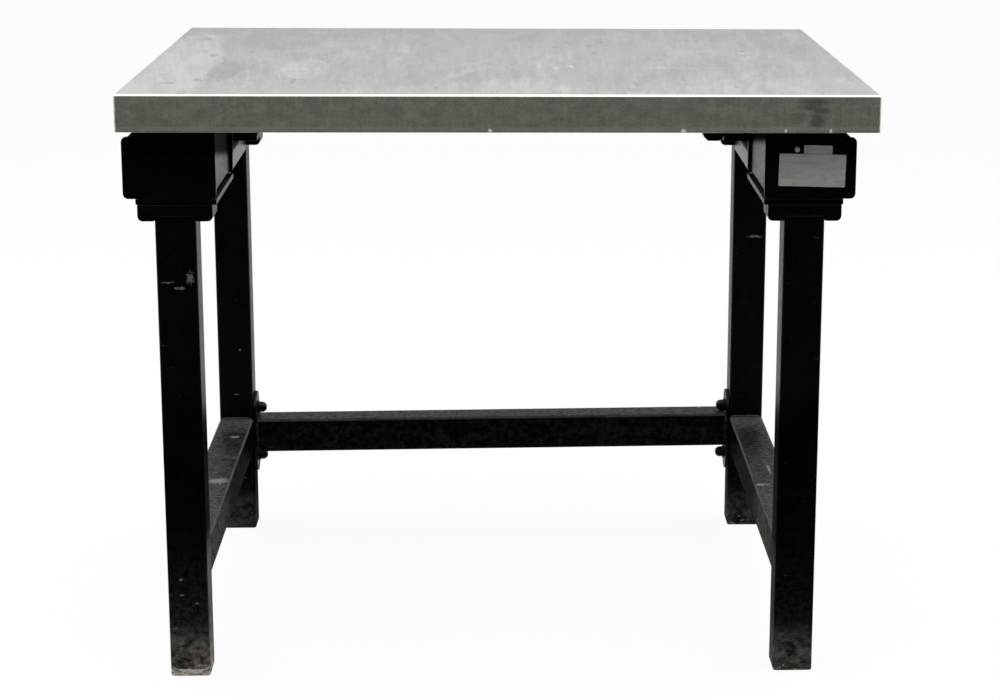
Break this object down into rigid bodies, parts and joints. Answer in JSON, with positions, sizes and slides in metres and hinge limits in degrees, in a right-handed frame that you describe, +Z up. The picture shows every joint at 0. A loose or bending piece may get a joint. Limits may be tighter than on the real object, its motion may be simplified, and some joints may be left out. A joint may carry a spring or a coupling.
{
  "type": "vibration isolation table",
  "caption": "Laboratory vibration isolation table: stainless-clad top floating on pneumatic corner isolators over a black square-tube frame, open at the front for the knees.",
  "frame": {"origin": "on the floor under the middle of the top", "axes": "+X to the right along the top's long side, +Y from the front to the back, +Z up"},
  "size_m": [0.9144, 0.762, 0.7493],
  "materials": {
    "frame_paint": "satin black paint, scuffed at the feet",
    "isolator_paint": "satin black paint",
    "bolt_paint": "black painted hex bolts",
    "top_stainless": "stained satin stainless sheet",
    "bottom_sheet_steel": "galvanised sheet",
    "core_board": "pressed board",
    "machined_aluminium": "turned aluminium",
    "valve_metal": "black anodised block",
    "zinc_steel": "zinc plated steel",
    "diaphragm_rubber": "moulded rubber",
    "fitting_brass": "turned brass",
    "plate_metal": "blank satin metal plate"
  },
  "bodies": {
    "frame": {"leg_front_left": "frame_paint", "leg_front_right": "frame_paint", "leg_rear_left": "frame_paint", "leg_rear_right": "frame_paint", "leg_saddle_front_left": "frame_paint", "leg_saddle_front_right": "frame_paint", "leg_saddle_rear_left": "frame_paint", "leg_saddle_rear_right": "frame_paint", "upper_rail_left": "frame_paint", "upper_rail_right": "frame_paint", "lower_stretcher_left": "frame_paint", "lower_stretcher_right": "frame_paint", "rear_crossbar": "frame_paint", "crossbar_flange_left": "frame_paint", "crossbar_flange_right": "frame_paint", "crossbar_bolt_left_lower": "bolt_paint", "crossbar_bolt_left_upper": "bolt_paint", "crossbar_bolt_right_lower": "bolt_paint", "crossbar_bolt_right_upper": "bolt_paint", "isolator_base_front_left": "isolator_paint", "isolator_base_front_right": "isolator_paint", "isolator_base_rear_left": "isolator_paint", "isolator_base_rear_right": "isolator_paint", "isolator_housing_front_left": "isolator_paint", "isolator_housing_front_right": "isolator_paint", "isolator_housing_rear_left": "isolator_paint", "isolator_housing_rear_right": "isolator_paint", "diaphragm_front_left": "diaphragm_rubber", "diaphragm_front_right": "diaphragm_rubber", "diaphragm_rear_left": "diaphragm_rubber", "diaphragm_rear_right": "diaphragm_rubber", "clamp_ring_front_left": "machined_aluminium", "clamp_ring_front_right": "machined_aluminium", "clamp_ring_rear_left": "machined_aluminium", "clamp_ring_rear_right": "machined_aluminium", "height_valve_rear_right": "valve_metal", "height_valve_front_left": "valve_metal", "height_valve_front_right": "valve_metal", "air_fitting_rear_right": "fitting_brass", "air_fitting_front_left": "fitting_brass", "air_fitting_front_right": "fitting_brass", "rating_plate": "plate_metal"},
    "top": {"top_skin": "top_stainless", "top_core": "core_board", "top_bottom_sheet": "bottom_sheet_steel"},
    "piston_front_left": {"piston_front_left": "machined_aluminium", "load_support_front_left": "zinc_steel"},
    "piston_front_right": {"piston_front_right": "machined_aluminium", "load_support_front_right": "zinc_steel"},
    "piston_rear_left": {"piston_rear_left": "machined_aluminium", "load_support_rear_left": "zinc_steel"},
    "piston_rear_right": {"piston_rear_right": "machined_aluminium", "load_support_rear_right": "zinc_steel"},
    "valve_arm_rear_right": {"valve_arm_rear_right": "zinc_steel"},
    "valve_arm_front_left": {"valve_arm_front_left": "zinc_steel"},
    "valve_arm_front_right": {"valve_arm_front_right": "zinc_steel"},
    "foot_front_left": {"levelling_foot_front_left": "zinc_steel"},
    "foot_front_right": {"levelling_foot_front_right": "zinc_steel"},
    "foot_rear_left": {"levelling_foot_rear_left": "zinc_steel"},
    "foot_rear_right": {"levelling_foot_rear_right": "zinc_steel"}
  },
  "joints": [
    {"name": "top_heave", "type": "slide", "parent": "frame", "child": "top", "axis": [0, 0, 1], "range_m": [0, 0.0127]},
    {"name": "piston_rise_front_left", "type": "slide", "parent": "frame", "child": "piston_front_left", "axis": [0, 0, 1], "range_m": [0, 0.0127], "deforming": ["diaphragm_front_left"]},
    {"name": "piston_rise_front_right", "type": "slide", "parent": "frame", "child": "piston_front_right", "axis": [0, 0, 1], "range_m": [0, 0.0127], "deforming": ["diaphragm_front_right"]},
    {"name": "piston_rise_rear_left", "type": "slide", "parent": "frame", "child": "piston_rear_left", "axis": [0, 0, 1], "range_m": [0, 0.0127], "deforming": ["diaphragm_rear_left"]},
    {"name": "piston_rise_rear_right", "type": "slide", "parent": "frame", "child": "piston_rear_right", "axis": [0, 0, 1], "range_m": [0, 0.0127], "deforming": ["diaphragm_rear_right"]},
    {"name": "valve_arm_pivot_rear_right", "type": "hinge", "parent": "frame", "child": "valve_arm_rear_right", "pos_m": [0.30905, 0.202, 0.68685], "axis": [1, 0, 0], "range_deg": [0, 14.6]},
    {"name": "valve_arm_pivot_front_left", "type": "hinge", "parent": "frame", "child": "valve_arm_front_left", "pos_m": [-0.395, -0.1218, 0.68685], "axis": [1, 0, 0], "range_deg": [0, 14.6]},
    {"name": "valve_arm_pivot_front_right", "type": "hinge", "parent": "frame", "child": "valve_arm_front_right", "pos_m": [0.3742, -0.1218, 0.68685], "axis": [1, 0, 0], "range_deg": [0, 14.6]},
    {"name": "foot_screw_front_left", "type": "slide", "parent": "frame", "child": "foot_front_left", "axis": [0, 0, -1], "range_m": [0, 0.025]},
    {"name": "foot_screw_front_right", "type": "slide", "parent": "frame", "child": "foot_front_right", "axis": [0, 0, -1], "range_m": [0, 0.025]},
    {"name": "foot_screw_rear_left", "type": "slide", "parent": "frame", "child": "foot_rear_left", "axis": [0, 0, -1], "range_m": [0, 0.025]},
    {"name": "foot_screw_rear_right", "type": "slide", "parent": "frame", "child": "foot_rear_right", "axis": [0, 0, -1], "range_m": [0, 0.025]}
  ],
  "couplings": [
    {"joint": "piston_rise_front_left", "follows": "top_heave", "ratio": 1},
    {"joint": "piston_rise_front_right", "follows": "top_heave", "ratio": 1},
    {"joint": "piston_rise_rear_left", "follows": "top_heave", "ratio": 1},
    {"joint": "piston_rise_rear_right", "follows": "top_heave", "ratio": 1},
    {"joint": "valve_arm_pivot_rear_right", "follows": "top_heave", "rad_per_m": 20},
    {"joint": "valve_arm_pivot_front_left", "follows": "top_heave", "rad_per_m": 20},
    {"joint": "valve_arm_pivot_front_right", "follows": "top_heave", "rad_per_m": 20}
  ]
}
